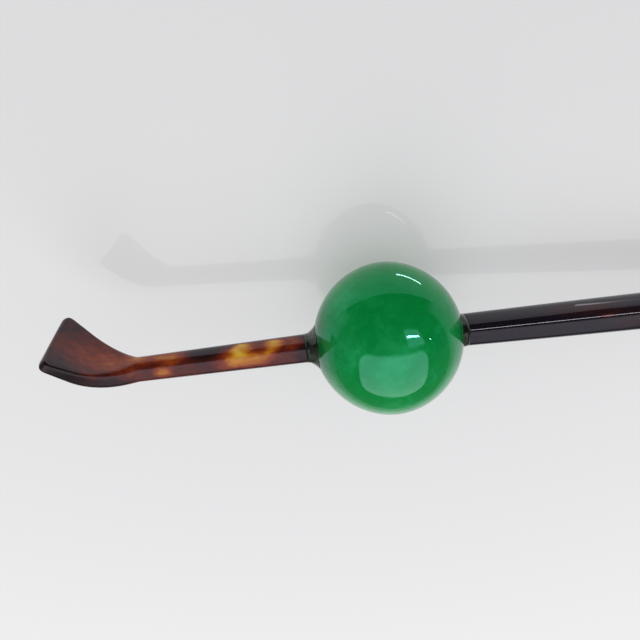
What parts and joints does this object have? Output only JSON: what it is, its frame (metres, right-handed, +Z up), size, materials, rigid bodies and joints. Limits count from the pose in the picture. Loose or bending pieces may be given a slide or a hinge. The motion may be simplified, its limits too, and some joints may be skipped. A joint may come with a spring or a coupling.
{
  "type": "kanzashi hairpin",
  "caption": "Ball hairpin: an ear-pick end and one tapered tortoiseshell-pattern leg joined through a drilled polished green ball, lying on its side.",
  "frame": {"origin": "middle of the hairpin's footprint, on the surface that it lies on", "axes": "+X along the pin towards the ear-pick end, -Y towards the side that the ear-pick end bends to, +Z up from the surface"},
  "size_m": [0.1558, 0.018, 0.018],
  "materials": {
    "tortoiseshell": "polished",
    "dark_tortoiseshell": "polished",
    "green_stone": "polished",
    "clear_glue": "clear, hardened"
  },
  "bodies": {
    "root": {"ear_pick": "tortoiseshell", "ball": "green_stone", "leg": "dark_tortoiseshell", "upper_glue": "clear_glue", "lower_glue": "clear_glue"}
  },
  "joints": []
}
